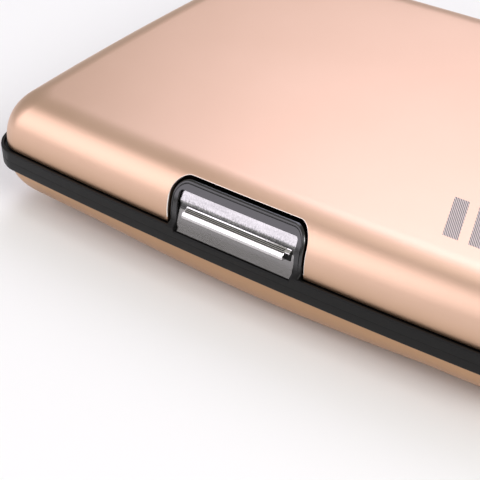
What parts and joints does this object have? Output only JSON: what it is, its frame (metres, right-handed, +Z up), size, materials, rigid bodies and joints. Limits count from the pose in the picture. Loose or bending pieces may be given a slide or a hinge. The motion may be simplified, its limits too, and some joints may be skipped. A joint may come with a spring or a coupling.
{
  "type": "minimalist wallet",
  "caption": "Slim hard-shell card wallet: two aluminium shells on black frames, rear hinge, chromed thumb latch at the front, accordion card pockets inside.",
  "frame": {"origin": "centre of the wallet's footprint, on the surface it lies on", "axes": "+X along the length, +Y from the latch to the hinge, +Z up through the lid"},
  "size_m": [0.11, 0.075, 0.02],
  "materials": {
    "anodised": "fine bead-blasted, rose-gold anodised",
    "frame_black": "fine satin black moulding",
    "liner": "matt black sheet",
    "chrome": "polished",
    "steel": "plain drawn steel",
    "pocket_fabric": "fine black woven nylon with bound edges"
  },
  "bodies": {
    "base": {"base_shell": "anodised", "base_frame": "frame_black", "base_liner": "liner", "lower_card_panel": "pocket_fabric", "hinge_pin": "steel", "latch_pin": "steel", "latch_spring_right": "steel", "latch_spring_left": "steel", "right_gusset": "pocket_fabric", "left_gusset": "pocket_fabric", "rear_gusset": "pocket_fabric"},
    "lid": {"lid_shell": "anodised", "lid_frame": "frame_black", "lid_liner": "liner", "upper_card_panel": "pocket_fabric", "strike_plate": "steel"},
    "latch": {"latch_lever": "frame_black", "latch_cover": "chrome"},
    "leaf_1": {"card_leaf_1": "pocket_fabric"},
    "leaf_2": {"card_leaf_2": "pocket_fabric"},
    "leaf_3": {"card_leaf_3": "pocket_fabric"},
    "leaf_4": {"card_leaf_4": "pocket_fabric"},
    "leaf_5": {"card_leaf_5": "pocket_fabric"}
  },
  "joints": [
    {"name": "lid_hinge", "type": "hinge", "parent": "base", "child": "lid", "pos_m": [0, 0.036, 0.0117], "axis": [-1, 0, 0], "range_deg": [0, 75], "deforming": ["left_gusset", "right_gusset", "rear_gusset"]},
    {"name": "latch_pivot", "type": "hinge", "parent": "base", "child": "latch", "pos_m": [0, -0.0349, 0.01175], "axis": [1, 0, 0], "range_deg": [0, 10], "stiffness_Nm_per_rad": 0.1, "springref_deg": -5.73, "deforming": ["latch_spring_left", "latch_spring_right"]},
    {"name": "leaf_1_fold", "type": "hinge", "parent": "base", "child": "leaf_1", "pos_m": [0, 0.036, 0.0117], "axis": [-1, 0, 0], "range_deg": [0, 7.85]},
    {"name": "leaf_2_fold", "type": "hinge", "parent": "base", "child": "leaf_2", "pos_m": [0, 0.036, 0.0117], "axis": [-1, 0, 0], "range_deg": [0, 21.18]},
    {"name": "leaf_3_fold", "type": "hinge", "parent": "base", "child": "leaf_3", "pos_m": [0, 0.036, 0.0117], "axis": [-1, 0, 0], "range_deg": [0, 37.55]},
    {"name": "leaf_4_fold", "type": "hinge", "parent": "base", "child": "leaf_4", "pos_m": [0, 0.036, 0.0117], "axis": [-1, 0, 0], "range_deg": [0, 53.92]},
    {"name": "leaf_5_fold", "type": "hinge", "parent": "base", "child": "leaf_5", "pos_m": [0, 0.036, 0.0117], "axis": [-1, 0, 0], "range_deg": [0, 67.25]}
  ],
  "couplings": [
    {"joint": "leaf_1_fold", "follows": "lid_hinge", "ratio": 0.104},
    {"joint": "leaf_2_fold", "follows": "lid_hinge", "ratio": 0.28175},
    {"joint": "leaf_3_fold", "follows": "lid_hinge", "ratio": 0.5},
    {"joint": "leaf_4_fold", "follows": "lid_hinge", "ratio": 0.71825},
    {"joint": "leaf_5_fold", "follows": "lid_hinge", "ratio": 0.896}
  ]
}
